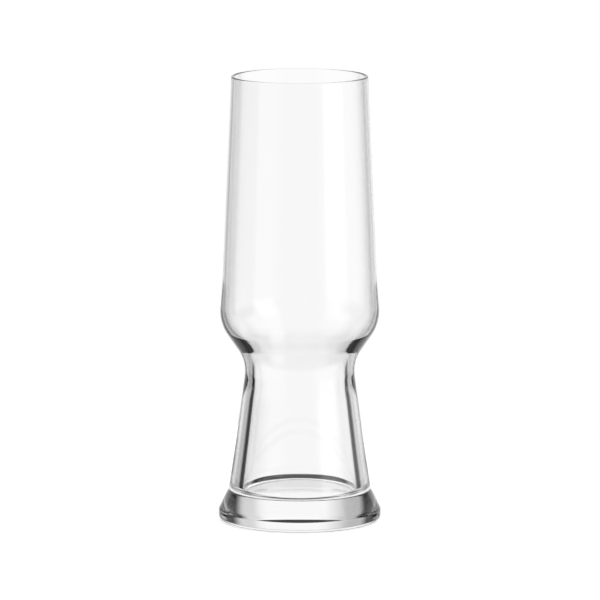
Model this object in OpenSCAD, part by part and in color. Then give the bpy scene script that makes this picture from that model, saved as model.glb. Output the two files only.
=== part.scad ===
// Pilsner glass: one piece of clear glass, revolved about its upright axis.
// The outline is a chain of corners, each rounded by its own radius. It runs from the centre
// of the underside, round the foot, up the outside, over the lip and down the drinking side
// to the centre of the floor. The origin is the centre of the plane that the glass stands on.

/* [Overall] */
// Height of the glass
height = 216; // [190:1:240]

/* [Bowl] */
// Outside diameter at the rim
rim_d = 65.7; // [60:0.1:72]
// Outside diameter where the straight taper of the bowl ends and the swell begins
bowl_d = 74.6; // [72:0.1:76]
// Height of the swell, from the shoulder corner up to the end of the straight taper
swell_h = 19.8; // [14:0.1:26]
// Radius that blends the taper into the swell
swell_round = 40; // [10:1:60]
// Outside diameter at the corner of the shoulder, before it is rounded
shoulder_d = 77.8; // [76.5:0.1:82]
// Radius that rounds the shoulder
shoulder_round = 20; // [12:0.5:24]
// Height of the shoulder, from the corner of the waist up to the corner of the shoulder
shoulder_h = 19.1; // [16:0.1:24]

/* [Waist and lower body] */
// Outside diameter at the corner of the waist, before it is rounded
waist_d = 51.3; // [48:0.1:56]
// Radius that rounds the waist
waist_round = 18.7; // [12:0.1:24]
// Outside diameter of the lower body at its slight belly
belly_d = 62.05; // [60:0.05:64]
// Height from the belly up to the corner of the waist
neck_h = 39.9; // [34:0.1:46]
// Radius of the slight belly
belly_round = 250; // [100:10:400]
// Height from the crease above the foot up to the belly
belly_h = 22.7; // [18:0.1:30]

/* [Foot] */
// Outside diameter at the crease where the lower body meets the foot
crease_d = 69.1; // [65:0.1:70]
// Radius of the crease
crease_round = 4.5; // [0.2:0.1:6]
// Height of the upper, flatter part of the flare
flare_h = 3.1; // [2:0.1:4.5]
// Outside diameter halfway down the flare
flare_d = 72.4; // [70.5:0.1:74]
// Radius that bends the flare outwards
flare_round = 10; // [5:1:40]
// Outside diameter of the foot, the widest of the glass
foot_d = 78.6; // [76:0.1:84]
// Height of the lower, steeper part of the flare
bell_h = 6.5; // [4:0.1:7]
// Height of the foot's upper corner above the table
foot_h = 5.2; // [4.6:0.1:7]
// Radius of the foot's upper corner
foot_round = 1.4; // [0.6:0.1:5]
// Radius of the foot's lower edge
toe_round = 2.5; // [1:0.1:3]

/* [Wall] */
// Wall thickness at the rim
rim_wall = 1.3; // [1:0.1:2.5]
// Radius of each edge of the lip
lip_round = 0.6; // [0.2:0.1:1.2]
// Wall thickness of the bowl where the swell begins
bowl_wall = 1.5; // [1:0.1:3]
// Wall thickness at the shoulder corner, sideways
shoulder_wall = 2.4; // [1.8:0.1:3.4]
// Height of the shoulder's inside corner above its outside one
shoulder_lift = 0.3; // [-1.5:0.1:1.5]
// Radius that rounds the shoulder inside
shoulder_inner_round = 18; // [8:0.5:22]
// Wall thickness at the top of the throat, sideways
throat_wall = 3.6; // [2.5:0.1:5]
// Height of the throat's upper corner above the corner of the waist
throat_rise = 2.6; // [0:0.1:6]
// Radius that rounds the throat's upper corner
throat_round = 27; // [10:0.5:32]
// Wall thickness at the narrowest of the throat, sideways from the corner of the waist
waist_wall = 3.4; // [2.5:0.1:5]
// Height of the narrowest of the throat below the corner of the waist
waist_drop = 14.9; // [8:0.1:18]
// Radius that blends the throat into the well
waist_inner_round = 60; // [10:1:80]
// Wall thickness of the well at the belly
belly_wall = 5.9; // [4:0.1:8]
// Radius of the slight belly inside
belly_inner_round = 200; // [80:10:400]
// Wall thickness at the foot of the well, sideways from the crease
well_wall = 6.6; // [5:0.1:10]

/* [Bottom] */
// Height of the floor of the well above the table
floor_h = 13.7; // [9:0.1:18]
// Radius where the floor meets the wall of the well
floor_round = 2.9; // [1:0.1:6]
// Height of the shallow dome under the glass
dome_h = 0.6; // [0.2:0.1:3]
// Width of the standing rim round the dome, from the side of the foot in to the dome
standing_w = 5.8; // [5:0.1:14]
// Radius where the dome meets the standing ring
dome_round = 1.2; // [0.2:0.1:3]

/* [Hidden] */
glass_colour = [0.86, 0.91, 0.91, 0.45];
// Largest turn between two points of a round stretch, in degrees
arc_step = 5;
// Share of a straight stretch that the round at one of its ends may use
edge_share = 0.49;
$fn = 180;

// Heights of the corners above the table
flare_z = foot_h + bell_h;
crease_z = flare_z + flare_h;
belly_z = crease_z + belly_h;
waist_z = belly_z + neck_h;
shoulder_z = waist_z + shoulder_h;
swell_z = shoulder_z + swell_h;

// Corners of the outside, from the table up to the rim: [radius, height, radius of the round]
outside = [
    [foot_d / 2, 0, toe_round],
    [foot_d / 2, foot_h, foot_round],
    [flare_d / 2, flare_z, flare_round],
    [crease_d / 2, crease_z, crease_round],
    [belly_d / 2, belly_z, belly_round],
    [waist_d / 2, waist_z, waist_round],
    [shoulder_d / 2, shoulder_z, shoulder_round],
    [bowl_d / 2, swell_z, swell_round],
    [rim_d / 2, height, lip_round],
];

// Corners of the drinking side, from the rim down to the floor
inside = [
    [rim_d / 2 - rim_wall, height, lip_round],
    [bowl_d / 2 - bowl_wall, swell_z, swell_round],
    [shoulder_d / 2 - shoulder_wall, shoulder_z + shoulder_lift, shoulder_inner_round],
    [waist_d / 2 - throat_wall, waist_z + throat_rise, throat_round],
    [waist_d / 2 - waist_wall, waist_z - waist_drop, waist_inner_round],
    [belly_d / 2 - belly_wall, belly_z, belly_inner_round],
    [crease_d / 2 - well_wall, floor_h, floor_round],
];

// The dome's own radius at its edge, and the radius of the sphere that it is a cap of
dome_r = foot_d / 2 - standing_w;
dome_sphere = (pow(dome_r, 2) + pow(dome_h, 2)) / (2 * dome_h);
dome_sweep = asin(dome_r / dome_sphere);
dome_steps = 10;

// The dome under the glass, from its top on the axis to just short of the standing ring
dome = [
    for (i = [0 : dome_steps - 1])
        let (turn = dome_sweep * i / dome_steps)
            [dome_sphere * sin(turn), dome_h - dome_sphere * (1 - cos(turn)), 0]
];
ring_edge = [dome_r, 0, dome_round];

outline = concat(dome, [ring_edge], outside, inside, [[0, floor_h, 0]]);

// Position of a corner, without the radius of its round
function place(corner) = [corner[0], corner[1]];

// Unit vector from one point to another
function heading(from, to) = (to - from) / norm(to - from);

// A vector turned anticlockwise
function turned(v, angle) =
    [v[0] * cos(angle) - v[1] * sin(angle), v[0] * sin(angle) + v[1] * cos(angle)];

// Points of the arc that rounds corner b between its neighbours a and c
function rounded(a, b, c, radius) =
    let (back = heading(b, a), on = heading(b, c))
    let (sweep = 180 - acos(max(-1, min(1, back * on))))
    let (longest = edge_share * min(norm(a - b), norm(c - b)))
    let (run = min(radius * tan(sweep / 2), longest))
    let (side = sign(cross(back, on)))
    let (centre = b + back * run + turned(back, side * 90) * run / tan(sweep / 2))
    let (steps = max(1, ceil(sweep / arc_step)))
    [for (i = [0 : steps]) centre + turned(b + back * run - centre, -side * sweep * i / steps)];

// A chain of corners with every corner between the two ends rounded
function rounded_chain(corners) =
    let (last = len(corners) - 1)
    [
        for (i = [0 : last])
            let (b = place(corners[i]))
            let (sharp = i == 0 || i == last || corners[i][2] == 0)
            each sharp ? [b] : rounded(place(corners[i - 1]), b, place(corners[i + 1]), corners[i][2])
    ];

// The whole glass
module pilsner_glass() {
    color(glass_colour)
        rotate_extrude()
            polygon(rounded_chain(outline));
}

pilsner_glass();
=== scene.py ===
"""Pilsner glass: its dressed surface, the studio round it and the camera.

Lengths are written in millimetres and angles in degrees. They become metres and radians where
Blender takes them. The glass stands on the plane z = 0 with its axis on z, as its solid does.
"""

import logging
import math
from collections.abc import Sequence
from dataclasses import dataclass
from enum import Enum

import bpy
import numpy as np
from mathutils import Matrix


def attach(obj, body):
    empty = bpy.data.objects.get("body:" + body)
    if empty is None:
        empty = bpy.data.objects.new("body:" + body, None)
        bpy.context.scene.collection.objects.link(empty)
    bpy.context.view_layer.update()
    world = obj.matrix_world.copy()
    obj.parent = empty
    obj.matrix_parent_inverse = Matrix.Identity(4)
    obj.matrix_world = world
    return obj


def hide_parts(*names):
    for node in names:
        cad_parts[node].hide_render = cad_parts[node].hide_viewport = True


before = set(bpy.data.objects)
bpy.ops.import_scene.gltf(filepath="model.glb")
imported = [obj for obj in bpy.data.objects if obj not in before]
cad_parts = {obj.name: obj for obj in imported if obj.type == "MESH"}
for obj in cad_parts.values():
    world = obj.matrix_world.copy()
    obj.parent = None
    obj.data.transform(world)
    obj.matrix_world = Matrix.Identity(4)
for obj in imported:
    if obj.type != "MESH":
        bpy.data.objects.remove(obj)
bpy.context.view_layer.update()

log = logging.getLogger("pilsner_glass")

MM = 0.001
IMAGE_SIDE = 600
STRAIGHT_ON = 1e-6
WHITE = (1.0, 1.0, 1.0, 1.0)


class Ray(Enum):
    """The kinds of ray that the studio tells apart, by Light Path's names for them."""

    CAMERA = "Is Camera Ray"
    GLOSSY = "Is Glossy Ray"
    TRANSMISSION = "Is Transmission Ray"


@dataclass(frozen=True)
class Corner:
    """One corner of a turned outline, before it is rounded.

    Args:
        radius: distance from the axis.
        height: height above the table.
        rounding: radius of the arc that rounds it, or 0 for a sharp corner.
    """

    radius: float
    height: float
    rounding: float = 0.0

    def place(self) -> np.ndarray:
        """The corner as a point (radius, height)."""
        return np.array([self.radius, self.height])


@dataclass(frozen=True)
class Outline:
    """A chain of corners whose rounded course is worked out in fine steps.

    Args:
        corners: the corners, from one end of the outline to the other.
        turn: largest turn between two points of an arc, in degrees.
        spacing: largest distance between two points of a straight stretch.
        edge_share: share of a stretch that the arc at one of its ends may use.
    """

    corners: Sequence[Corner]
    turn: float = 2.4
    spacing: float = 3.2
    edge_share: float = 0.49

    def arc(self, before: Corner, corner: Corner, after: Corner) -> np.ndarray:
        """Rounds one corner.

        The arc touches both stretches at the same distance from the corner, the radius times
        the tangent of half the turn. Its centre lies beside the first touching point, square
        to the stretch. The points are the first one turned about that centre in even steps.

        Args:
            before: the corner before it.
            corner: the corner to round.
            after: the corner after it.

        Returns:
            The points of the arc, one row each, or the corner itself where it is sharp.
        """
        a, b, c = before.place(), corner.place(), after.place()
        back, on = (a - b) / np.linalg.norm(a - b), (c - b) / np.linalg.norm(c - b)
        sweep = math.pi - math.acos(float(np.clip(back @ on, -1.0, 1.0)))
        if corner.rounding == 0 or sweep < STRAIGHT_ON:
            return b[None, :]
        longest = self.edge_share * min(np.linalg.norm(a - b), np.linalg.norm(c - b))
        run = min(corner.rounding * math.tan(sweep / 2), longest)
        side = math.copysign(1.0, back[0] * on[1] - back[1] * on[0])
        across = side * np.array([-back[1], back[0]])
        centre = b + back * run + across * run / math.tan(sweep / 2)
        steps = max(1, math.ceil(math.degrees(sweep) / self.turn))
        turns = -side * sweep * np.arange(steps + 1) / steps
        arm = b + back * run - centre
        return centre + np.stack([arm[0] * np.cos(turns) - arm[1] * np.sin(turns),
                                  arm[0] * np.sin(turns) + arm[1] * np.cos(turns)], axis=1)

    def points(self) -> np.ndarray:
        """Works out the whole course.

        Returns:
            Points (radius, height), one row each, with every long stretch cut into even steps.
        """
        chain = list(self.corners)
        rounds = [self.arc(*three) for three in zip(chain, chain[1:], chain[2:])]
        rough = np.concatenate([chain[0].place()[None, :], *rounds, chain[-1].place()[None, :]])
        lengths = np.linalg.norm(np.diff(rough, axis=0), axis=1)
        cuts = np.maximum(1, np.ceil(lengths / self.spacing)).astype(int)
        along = np.concatenate([k + np.arange(n) / n for k, n in enumerate(cuts)] + [[len(cuts)]])
        index = np.arange(len(rough))
        return np.stack([np.interp(along, index, rough[:, 0]),
                         np.interp(along, index, rough[:, 1])], axis=1)


@dataclass(frozen=True)
class TurnedSkin:
    """A closed skin turned about the z axis from an outline that starts and ends on it.

    Args:
        outline: points (radius, height) in millimetres, the first and last on the axis.
        sides: number of steps round the axis.
        smooth: whether its faces are shaded as one smooth surface.
    """

    outline: np.ndarray
    sides: int = 240
    smooth: bool = True

    def vertices(self) -> np.ndarray:
        """Works out the vertices.

        A point of the skin at step i of the outline and angle t round the axis is
        (radius_i cos t, radius_i sin t, height_i). Each end of the outline is one point.

        Returns:
            Positions in metres, one row each: the first pole, the rings, the last pole.
        """
        radius, height = self.outline[1:-1, 0], self.outline[1:-1, 1]
        angle = 2 * math.pi * np.arange(self.sides) / self.sides
        rings = np.stack([np.outer(radius, np.cos(angle)), np.outer(radius, np.sin(angle)),
                          np.repeat(height[:, None], self.sides, axis=1)], axis=2)
        poles = np.array([[0.0, 0.0, self.outline[0, 1]], [0.0, 0.0, self.outline[-1, 1]]])
        return np.concatenate([poles[:1], rings.reshape(-1, 3), poles[1:]]) * MM

    def corners(self) -> tuple[np.ndarray, np.ndarray]:
        """Works out the faces: a fan at each pole and quads between the rings.

        A quad goes from step j to step j + 1 round one ring and back on the next, so that it
        faces away from the solid.

        Returns:
            The vertex of each corner of each face, and the first corner of each face.
        """
        ring_count = len(self.outline) - 2
        step = np.arange(self.sides)
        after = (step + 1) % self.sides
        ring = 1 + np.arange(ring_count - 1)[:, None] * self.sides
        quads = np.stack([ring + step, ring + after, ring + self.sides + after,
                          ring + self.sides + step], axis=2).reshape(-1, 4)
        last_ring = 1 + (ring_count - 1) * self.sides
        first_fan = np.stack([np.zeros_like(step), 1 + after, 1 + step], axis=1)
        last_fan = np.stack([last_ring + step, last_ring + after,
                             np.full_like(step, last_ring + self.sides)], axis=1)
        sizes = np.repeat([3, 4, 3], [self.sides, len(quads), self.sides])
        starts = np.concatenate([[0], np.cumsum(sizes)[:-1]])
        return np.concatenate([first_fan.ravel(), quads.ravel(), last_fan.ravel()]), starts

    def build(self, name: str) -> bpy.types.Object:
        """Makes the skin an object of the scene.

        Args:
            name: the object's name.

        Returns:
            The object.
        """
        vertices = self.vertices()
        corner_vertices, starts = self.corners()
        mesh = bpy.data.meshes.new(name)
        mesh.vertices.add(len(vertices))
        mesh.vertices.foreach_set("co", vertices.astype(np.float32).ravel())
        mesh.loops.add(len(corner_vertices))
        mesh.loops.foreach_set("vertex_index", corner_vertices.astype(np.int32))
        mesh.polygons.add(len(starts))
        mesh.polygons.foreach_set("loop_start", starts.astype(np.int32))
        mesh.polygons.foreach_set("use_smooth", np.full(len(starts), self.smooth))
        mesh.update(calc_edges=True)
        mesh.validate()
        skin = bpy.data.objects.new(name, mesh)
        bpy.context.scene.collection.objects.link(skin)
        return skin


class Wiring:
    """A node tree that is wired up by short calls."""

    def __init__(self, tree: bpy.types.NodeTree) -> None:
        """Empties the tree.

        Args:
            tree: the tree to fill.
        """
        self.tree = tree
        tree.nodes.clear()

    def node(self, kind: str, **settings: object) -> bpy.types.Node:
        """Adds a node.

        Args:
            kind: Blender's name of its type.
            settings: its properties.

        Returns:
            The node.
        """
        new = self.tree.nodes.new(kind)
        for key, value in settings.items():
            setattr(new, key, value)
        return new

    def feed(self, socket: bpy.types.NodeSocket, value: object) -> None:
        """Links an output to a socket, or sets the socket to a plain value.

        Args:
            socket: the input.
            value: an output socket, a number or a colour.
        """
        if isinstance(value, bpy.types.NodeSocket):
            self.tree.links.new(value, socket)
        else:
            socket.default_value = value

    def maths(self, operation: str, *terms: object) -> bpy.types.NodeSocket:
        """Adds a Math node.

        Args:
            operation: Blender's name of the operation.
            terms: its inputs, each an output socket or a number.

        Returns:
            The result's socket.
        """
        new = self.node("ShaderNodeMath", operation=operation)
        for socket, term in zip(new.inputs, terms):
            self.feed(socket, term)
        return new.outputs[0]

    def between(self, share: object, first: object, second: object) -> bpy.types.NodeSocket:
        """Mixes two numbers.

        Args:
            share: how much of the second, from 0 to 1.
            first: the number at share 0.
            second: the number at share 1.

        Returns:
            The mixed number's socket.
        """
        new = self.node("ShaderNodeMix", data_type="FLOAT")
        for socket, value in zip(new.inputs[:1] + new.inputs[2:4], (share, first, second)):
            self.feed(socket, value)
        return new.outputs[0]

    def step(self, value: object, start: float, end: float) -> bpy.types.NodeSocket:
        """Adds a smooth step.

        Args:
            value: what is measured.
            start: where the step is 0.
            end: where the step is 1.

        Returns:
            The step's socket.
        """
        new = self.node("ShaderNodeMapRange", interpolation_type="SMOOTHSTEP")
        for socket, term in zip(new.inputs[:3], (value, start, end)):
            self.feed(socket, term)
        return new.outputs[0]

    def ray(self, *kinds: Ray) -> bpy.types.NodeSocket:
        """Tells whether the ray is one of some kinds.

        Args:
            kinds: the kinds.

        Returns:
            A socket that is 1 for such a ray, and 0 otherwise.
        """
        path = self.node("ShaderNodeLightPath")
        found = path.outputs[kinds[0].value]
        for kind in kinds[1:]:
            found = self.maths("MAXIMUM", found, path.outputs[kind.value])
        return found


@dataclass(frozen=True)
class ClearGlass:
    """Clear polished glass, with the faint waves that a mould and the fire leave on it.

    Args:
        tint: colour of the light that it lets through.
        bend: index of refraction.
        roughness: roughness of the polished surface.
        wave_scale: waves in a metre.
        wave_height: height of the waves, in metres.
        wave_detail: how many finer waves lie on the broad ones.
    """

    tint: tuple[float, float, float, float] = (0.99, 0.99, 0.99, 1.0)
    bend: float = 1.5
    roughness: float = 0.0
    wave_scale: float = 45.0
    wave_height: float = 0.00002
    wave_detail: float = 1.0

    def material(self, name: str) -> bpy.types.Material:
        """Makes the material.

        Args:
            name: the material's name.

        Returns:
            The material, whose waves are noise on Object coordinates, as a bump.
        """
        made = bpy.data.materials.new(name)
        made.use_nodes = True
        wiring = Wiring(made.node_tree)
        place = wiring.node("ShaderNodeTexCoord")
        noise = wiring.node("ShaderNodeTexNoise")
        wiring.feed(noise.inputs["Vector"], place.outputs["Object"])
        wiring.feed(noise.inputs["Scale"], self.wave_scale)
        wiring.feed(noise.inputs["Detail"], self.wave_detail)
        bump = wiring.node("ShaderNodeBump")
        wiring.feed(bump.inputs["Distance"], self.wave_height)
        wiring.feed(bump.inputs["Height"], noise.outputs[0])
        surface = wiring.node("ShaderNodeBsdfPrincipled")
        wiring.feed(surface.inputs["Base Color"], self.tint)
        wiring.feed(surface.inputs["Roughness"], self.roughness)
        wiring.feed(surface.inputs["IOR"], self.bend)
        wiring.feed(surface.inputs["Transmission Weight"], 1.0)
        wiring.feed(surface.inputs["Normal"], bump.outputs[0])
        output = wiring.node("ShaderNodeOutputMaterial")
        wiring.feed(output.inputs["Surface"], surface.outputs[0])
        return made


@dataclass(frozen=True)
class GlassBody:
    """The glass itself, one piece turned about its axis.

    The sizes are those of its solid. Diameters and walls are named where the outline turns.
    """

    height: float = 216.0
    rim_d: float = 65.7
    bowl_d: float = 74.6
    swell_h: float = 19.8
    swell_round: float = 40.0
    shoulder_d: float = 77.8
    shoulder_round: float = 20.0
    shoulder_h: float = 19.1
    waist_d: float = 51.3
    waist_round: float = 18.7
    belly_d: float = 62.05
    neck_h: float = 39.9
    belly_round: float = 250.0
    belly_h: float = 22.7
    crease_d: float = 69.1
    crease_round: float = 4.5
    flare_h: float = 3.1
    flare_d: float = 72.4
    flare_round: float = 10.0
    foot_d: float = 78.6
    bell_h: float = 6.5
    foot_h: float = 5.2
    foot_round: float = 1.4
    toe_round: float = 2.5
    rim_wall: float = 1.3
    lip_round: float = 0.6
    bowl_wall: float = 1.5
    shoulder_wall: float = 2.4
    shoulder_lift: float = 0.3
    shoulder_inner_round: float = 18.0
    throat_wall: float = 3.6
    throat_rise: float = 2.6
    throat_round: float = 27.0
    waist_wall: float = 3.4
    waist_drop: float = 14.9
    waist_inner_round: float = 60.0
    belly_wall: float = 5.9
    belly_inner_round: float = 200.0
    well_wall: float = 6.6
    floor_h: float = 13.7
    floor_round: float = 2.9
    dome_h: float = 0.6
    standing_w: float = 5.8
    dome_round: float = 1.2
    dome_steps: int = 30

    def underside(self) -> list[Corner]:
        """Lays out the dome under the glass and the inner edge of the standing ring.

        The dome is a cap of a sphere, whose radius is (r squared + h squared) / 2h for a cap of
        radius r and height h. Its corners lie at even turns about the centre of the sphere.

        Returns:
            The corners from the top of the dome, on the axis, to the standing ring.
        """
        radius = self.foot_d / 2 - self.standing_w
        sphere = (radius**2 + self.dome_h**2) / (2 * self.dome_h)
        sweep = math.asin(radius / sphere)
        turns = [sweep * k / self.dome_steps for k in range(self.dome_steps)]
        dome = [Corner(sphere * math.sin(turn), self.dome_h - sphere * (1 - math.cos(turn)))
                for turn in turns]
        return dome + [Corner(radius, 0.0, self.dome_round)]

    def outline(self) -> Outline:
        """Lays out the corners.

        Returns:
            The outline from the centre of the underside, up the outside, over the lip and down
            the drinking side to the centre of the floor.
        """
        flare_z = self.foot_h + self.bell_h
        crease_z = flare_z + self.flare_h
        belly_z = crease_z + self.belly_h
        waist_z = belly_z + self.neck_h
        shoulder_z = waist_z + self.shoulder_h
        swell_z = shoulder_z + self.swell_h
        outside = [
            Corner(self.foot_d / 2, 0.0, self.toe_round),
            Corner(self.foot_d / 2, self.foot_h, self.foot_round),
            Corner(self.flare_d / 2, flare_z, self.flare_round),
            Corner(self.crease_d / 2, crease_z, self.crease_round),
            Corner(self.belly_d / 2, belly_z, self.belly_round),
            Corner(self.waist_d / 2, waist_z, self.waist_round),
            Corner(self.shoulder_d / 2, shoulder_z, self.shoulder_round),
            Corner(self.bowl_d / 2, swell_z, self.swell_round),
            Corner(self.rim_d / 2, self.height, self.lip_round),
        ]
        inside = [
            Corner(self.rim_d / 2 - self.rim_wall, self.height, self.lip_round),
            Corner(self.bowl_d / 2 - self.bowl_wall, swell_z, self.swell_round),
            Corner(self.shoulder_d / 2 - self.shoulder_wall, shoulder_z + self.shoulder_lift,
                   self.shoulder_inner_round),
            Corner(self.waist_d / 2 - self.throat_wall, waist_z + self.throat_rise,
                   self.throat_round),
            Corner(self.waist_d / 2 - self.waist_wall, waist_z - self.waist_drop,
                   self.waist_inner_round),
            Corner(self.belly_d / 2 - self.belly_wall, belly_z, self.belly_inner_round),
            Corner(self.crease_d / 2 - self.well_wall, self.floor_h, self.floor_round),
            Corner(0.0, self.floor_h),
        ]
        return Outline(self.underside() + outside + inside)

    def build(self) -> bpy.types.Object:
        """Builds the skin, dresses it and puts it in the place of its solid.

        Returns:
            The glass.
        """
        glass = TurnedSkin(self.outline().points()).build("glass_body")
        glass.data.materials.append(ClearGlass().material("clear_glass"))
        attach(glass, "root")
        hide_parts("pilsner_glass")
        return glass


@dataclass(frozen=True)
class Panel:
    """A screen, a lamp or a dark card in the studio, with faded edges.

    It fills a span of angles round the room and a span of elevations. One that crosses the
    middle of the front is made as two, each of which reaches past half a turn.

    Args:
        sides: angles of its two sides round the room, the left one first.
        level: its brightness.
        ends: elevations of its lower and upper end. Without them it fills every elevation.
        side_fade: width of the faded edge at its sides.
        end_fade: height of the faded edge at its ends.
    """

    sides: tuple[float, float]
    level: float
    ends: tuple[float, float] = (-100.0, 100.0)
    side_fade: float = 8.0
    end_fade: float = 10.0

    def window(self, wiring: Wiring, value: object, span: tuple[float, float],
               fade: float) -> bpy.types.NodeSocket:
        """Tells whether an angle lies between two others: 1 there, fading to 0 past each.

        Args:
            wiring: the world's wiring.
            value: the angle, in degrees.
            span: the two others, the lower one first.
            fade: width of the fade, half of it inside.

        Returns:
            The window's socket.
        """
        low, high = span
        return wiring.maths("MULTIPLY", wiring.step(value, low - fade / 2, low + fade / 2),
                            wiring.step(value, high + fade / 2, high - fade / 2))

    def cover(self, wiring: Wiring, around: object, elevation: object,
              level: object) -> bpy.types.NodeSocket:
        """Hangs the panel in the room.

        Args:
            wiring: the world's wiring.
            around: angle round the room, in degrees.
            elevation: angle above the horizon, in degrees.
            level: brightness of the room behind the panel.

        Returns:
            The socket of the room's brightness with the panel in it.
        """
        inside = wiring.maths("MULTIPLY", self.window(wiring, around, self.sides, self.side_fade),
                              self.window(wiring, elevation, self.ends, self.end_fade))
        return wiring.between(inside, level, self.level)


@dataclass(frozen=True)
class Backdrop:
    """The studio as the world of the scene.

    Seen by the camera it is white, and so it is, nearly, for a ray that has only passed through
    glass, so that the glass is clear from every side. A ray that a face has mirrored meets one
    room: a white screen behind the glass, grey wings and a dark gap on each side of it, pale
    walls further round with a dark card above the horizon on each side, a pale ceiling, two
    tall soft boxes at the front, and a grey floor with dark cards on its front half. Angles
    round the room count from the middle of the back, more to the right.

    Args:
        wall: brightness of the walls.
        front: the greyer wall at the front, on each side of the camera.
        back: the greyer wall behind the glass.
        screen: the white screen before the back wall.
        wings: grey stretches of wall on either side of the screen.
        gaps: the dark gap on each side of the screen.
        cards: the dark cards at the sides, a little above the horizon.
        boxes: the soft boxes at the front, the left one weaker.
        floor_cards: the dark cards on the front half of the floor.
        floor_edge: elevations between which the walls give way to the floor, the lower first.
        floor: brightness of the floor.
        ceiling_edge: elevations between which the walls give way to the ceiling.
        ceiling: brightness of the ceiling.
        clear: share of the white in what a ray meets that has only passed through glass.
    """

    wall: float = 0.9
    front: tuple[Panel, Panel] = (
        Panel(sides=(-200.0, -140.0), level=0.65, side_fade=30.0),
        Panel(sides=(146.0, 200.0), level=0.65, side_fade=30.0))
    back: Panel = Panel(sides=(-70.0, 63.0), level=0.6, side_fade=26.0)
    screen: Panel = Panel(sides=(-17.0, 24.0), level=1.0, side_fade=18.0)
    wings: tuple[Panel, ...] = (
        Panel(sides=(-66.0, -50.0), level=0.45, side_fade=12.0),
        Panel(sides=(-46.0, -24.0), level=0.5),
        Panel(sides=(24.0, 45.0), level=0.7))
    gaps: tuple[Panel, Panel] = (
        Panel(sides=(-55.0, -40.0), level=0.02, side_fade=10.0),
        Panel(sides=(38.0, 55.0), level=0.03, side_fade=12.0))
    cards: tuple[Panel, Panel] = (
        Panel(sides=(-108.0, -51.0), ends=(-6.0, 28.0), level=0.02),
        Panel(sides=(50.0, 102.0), ends=(4.0, 28.0), level=0.02))
    boxes: tuple[Panel, Panel] = (
        Panel(sides=(-146.0, -110.0), ends=(-6.0, 52.0), level=0.65),
        Panel(sides=(104.0, 140.0), ends=(-6.0, 52.0), level=1.7))
    floor_cards: tuple[Panel, Panel] = (
        Panel(sides=(-200.0, -60.0), ends=(-90.0, -41.0), level=0.03, side_fade=16.0),
        Panel(sides=(60.0, 200.0), ends=(-90.0, -41.0), level=0.03, side_fade=16.0))
    floor_edge: tuple[float, float] = (-44.0, -32.0)
    floor: float = 0.4
    ceiling_edge: tuple[float, float] = (35.0, 47.0)
    ceiling: float = 0.7
    clear: float = 0.95

    def build(self) -> None:
        """Wires the world."""
        world = bpy.data.worlds.new("studio")
        world.use_nodes = True
        bpy.context.scene.world = world
        wiring = Wiring(world.node_tree)
        place = wiring.node("ShaderNodeTexCoord")
        parts = wiring.node("ShaderNodeSeparateXYZ")
        wiring.feed(parts.inputs[0], place.outputs["Generated"])
        x, y, z = parts.outputs
        elevation = wiring.maths("DEGREES", wiring.maths("ARCSINE", z))
        around = wiring.maths("DEGREES", wiring.maths("ARCTAN2", x, y))
        level = self.room(wiring, around, elevation)
        level = wiring.between(self.passed(wiring), level, 1.0)
        level = wiring.between(wiring.ray(Ray.CAMERA), level, 1.0)
        background = wiring.node("ShaderNodeBackground")
        wiring.feed(background.inputs["Color"], WHITE)
        wiring.feed(background.inputs["Strength"], level)
        output = wiring.node("ShaderNodeOutputWorld")
        wiring.feed(output.inputs["Surface"], background.outputs[0])

    def passed(self, wiring: Wiring) -> bpy.types.NodeSocket:
        """Works out how much of the white a ray meets, going by whether a face has mirrored it.

        Args:
            wiring: the world's wiring.

        Returns:
            A socket that is the share for a ray that has only passed through glass, and 0 for
            any other.
        """
        path = wiring.node("ShaderNodeLightPath")
        mirrored = wiring.maths("MINIMUM", path.outputs["Glossy Depth"], 1.0)
        share = wiring.maths("MULTIPLY", wiring.maths("SUBTRACT", 1.0, mirrored), self.clear)
        return wiring.maths("MULTIPLY", share, wiring.ray(Ray.TRANSMISSION))

    def room(self, wiring: Wiring, around: object, elevation: object) -> bpy.types.NodeSocket:
        """Lays out the room: the walls, then ceiling and floor, then what stands before them.

        Args:
            wiring: the world's wiring.
            around: angle round the room, in degrees.
            elevation: angle above the horizon, in degrees.

        Returns:
            The brightness's socket.
        """
        level: object = self.wall
        for panel in (*self.front, self.back, self.screen, *self.wings, *self.gaps):
            level = panel.cover(wiring, around, elevation, level)
        above = wiring.step(elevation, *self.ceiling_edge)
        level = wiring.between(above, level, self.ceiling)
        below = wiring.step(elevation, *self.floor_edge[::-1])
        level = wiring.between(below, level, self.floor)
        for panel in (*self.cards, *self.boxes, *self.floor_cards):
            level = panel.cover(wiring, around, elevation, level)
        return level


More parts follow.
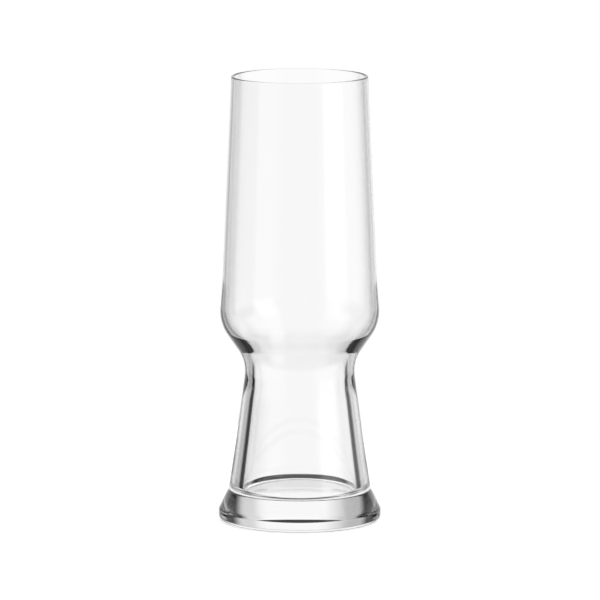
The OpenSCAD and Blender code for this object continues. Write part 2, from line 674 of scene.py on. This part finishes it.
@dataclass(frozen=True)
class Table:
    """The pale round floor that the glass stands on.

    Args:
        radius: its radius.
        top: height of its top, a hair under the glass.
        bottom: height of its underside.
        sides: steps round its edge.
        spacing: largest step along its radius.
        colour: colour of its paint.
        glow: how much of the white background it shows by itself, beside the light on it.
    """

    radius: float = 260.0
    top: float = -0.02
    bottom: float = -2.0
    sides: int = 128
    spacing: float = 40.0
    colour: tuple[float, float, float, float] = (0.82, 0.82, 0.82, 1.0)
    glow: float = 0.6

    def material(self) -> bpy.types.Material:
        """Makes its material: matt paint, with a glow for the rays that show it as background.

        Returns:
            The material.
        """
        made = bpy.data.materials.new("pale_floor")
        made.use_nodes = True
        wiring = Wiring(made.node_tree)
        paint = wiring.node("ShaderNodeBsdfDiffuse")
        wiring.feed(paint.inputs["Color"], self.colour)
        glow = wiring.node("ShaderNodeEmission")
        seen = wiring.ray(Ray.CAMERA, Ray.GLOSSY, Ray.TRANSMISSION)
        wiring.feed(glow.inputs["Strength"], wiring.maths("MULTIPLY", seen, self.glow))
        both = wiring.node("ShaderNodeAddShader")
        wiring.feed(both.inputs[0], paint.outputs[0])
        wiring.feed(both.inputs[1], glow.outputs[0])
        output = wiring.node("ShaderNodeOutputMaterial")
        wiring.feed(output.inputs["Surface"], both.outputs[0])
        return made

    def build(self) -> bpy.types.Object:
        """Builds the floor, a thin disc under the plane z = 0.

        Rays through the glass or mirrored in it pass it and meet the studio's own floor.

        Returns:
            The floor.
        """
        edge = Outline([Corner(0.0, self.bottom), Corner(self.radius, self.bottom),
                        Corner(self.radius, self.top), Corner(0.0, self.top)],
                       spacing=self.spacing)
        disc = TurnedSkin(edge.points(), self.sides, smooth=False).build("pale_floor")
        disc.data.materials.append(self.material())
        disc.visible_transmission = False
        disc.visible_glossy = False
        return disc


@dataclass(frozen=True)
class Viewpoint:
    """The camera, where the photograph's rim and base ellipses put it.

    Args:
        distance: how far it stands in front of the axis, along -Y.
        height: its height above the table.
        side: how far it stands to the right.
        tilt: how far it looks down, in degrees.
        focal: focal length in pixels of the photograph.
        sensor: width of the sensor.
        reach: how far it sees, in metres.
    """

    distance: float = 2554.0
    height: float = 502.0
    side: float = 0.12
    tilt: float = 8.787
    focal: float = 5355.0
    sensor: float = 36.0
    reach: float = 100.0

    def build(self) -> bpy.types.Object:
        """Builds the camera and makes it the scene's own.

        Returns:
            The camera.
        """
        lens = bpy.data.cameras.new("camera")
        lens.sensor_width = self.sensor
        lens.lens = self.focal * self.sensor / IMAGE_SIDE
        lens.clip_end = self.reach
        camera = bpy.data.objects.new("camera", lens)
        camera.location = np.array([self.side, -self.distance, self.height]) * MM
        camera.rotation_euler = (math.radians(90 - self.tilt), 0.0, 0.0)
        bpy.context.scene.collection.objects.link(camera)
        bpy.context.scene.camera = camera
        return camera


def main() -> None:
    """Builds the camera, the studio and the glass, and reports each piece."""
    logging.basicConfig(level=logging.INFO, format="%(name)s: %(message)s")
    bpy.context.scene.view_settings.view_transform = "Standard"
    Viewpoint().build()
    Backdrop().build()
    Table().build()
    glass = GlassBody().build()
    log.info("%s: %d faces", glass.name, len(glass.data.polygons))


if __name__ == "__main__":
    main()
